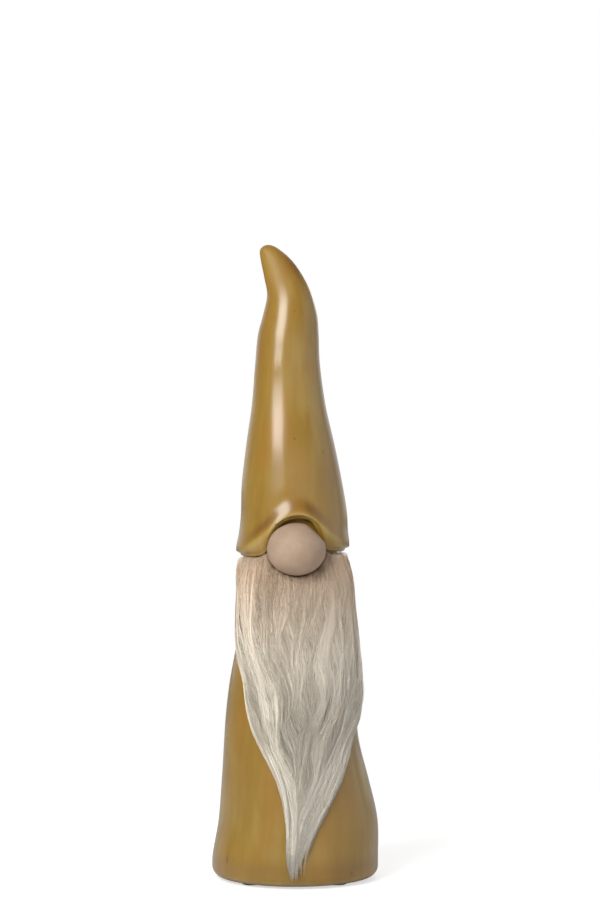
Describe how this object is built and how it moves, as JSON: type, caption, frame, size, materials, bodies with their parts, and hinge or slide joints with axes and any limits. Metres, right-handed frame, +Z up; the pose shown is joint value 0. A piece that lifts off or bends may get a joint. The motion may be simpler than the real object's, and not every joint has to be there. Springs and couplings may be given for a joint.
{
  "type": "gnome figurine",
  "caption": "Standing gnome figurine with a hollow glazed ceramic body, a tall bent hat over a round matte nose, and a long faux fur beard.",
  "frame": {"origin": "centre of the figurine's footprint on the surface it stands on", "axes": "+Z up along the figurine, the face with nose and beard looks along -Y, +X to the viewer's right"},
  "size_m": [0.0842, 0.0847, 0.3204],
  "materials": {
    "ochre_glaze": "glossy ochre glaze, darker where it pools in grooves and paler where it runs thin over edges",
    "bare_clay": "fired slip, unglazed",
    "nose_clay": "smooth matte unglazed clay, pinkish tan",
    "hot_glue": "cloudy hot-melt glue",
    "backing_cloth": "knitted cream backing cloth",
    "beige_hair": "long straight faux fur, warm tan at the roots and silvery beige at the tips",
    "brown_felt": "pressed brown felt"
  },
  "bodies": {
    "root": {"body_shell": "ochre_glaze", "hat_shell": "ochre_glaze", "slip_joint_ring": "bare_clay", "nose": "nose_clay", "nose_glue_pad": "hot_glue", "beard_backing": "backing_cloth", "beard_glue_bead": "hot_glue", "beard_underfur": "beige_hair", "guard_hair_left": "beige_hair", "guard_hair_center": "beige_hair", "guard_hair_right": "beige_hair", "guard_hair_tip": "beige_hair", "felt_pad_1": "brown_felt", "felt_pad_2": "brown_felt", "felt_pad_3": "brown_felt", "felt_pad_4": "brown_felt"}
  },
  "joints": []
}
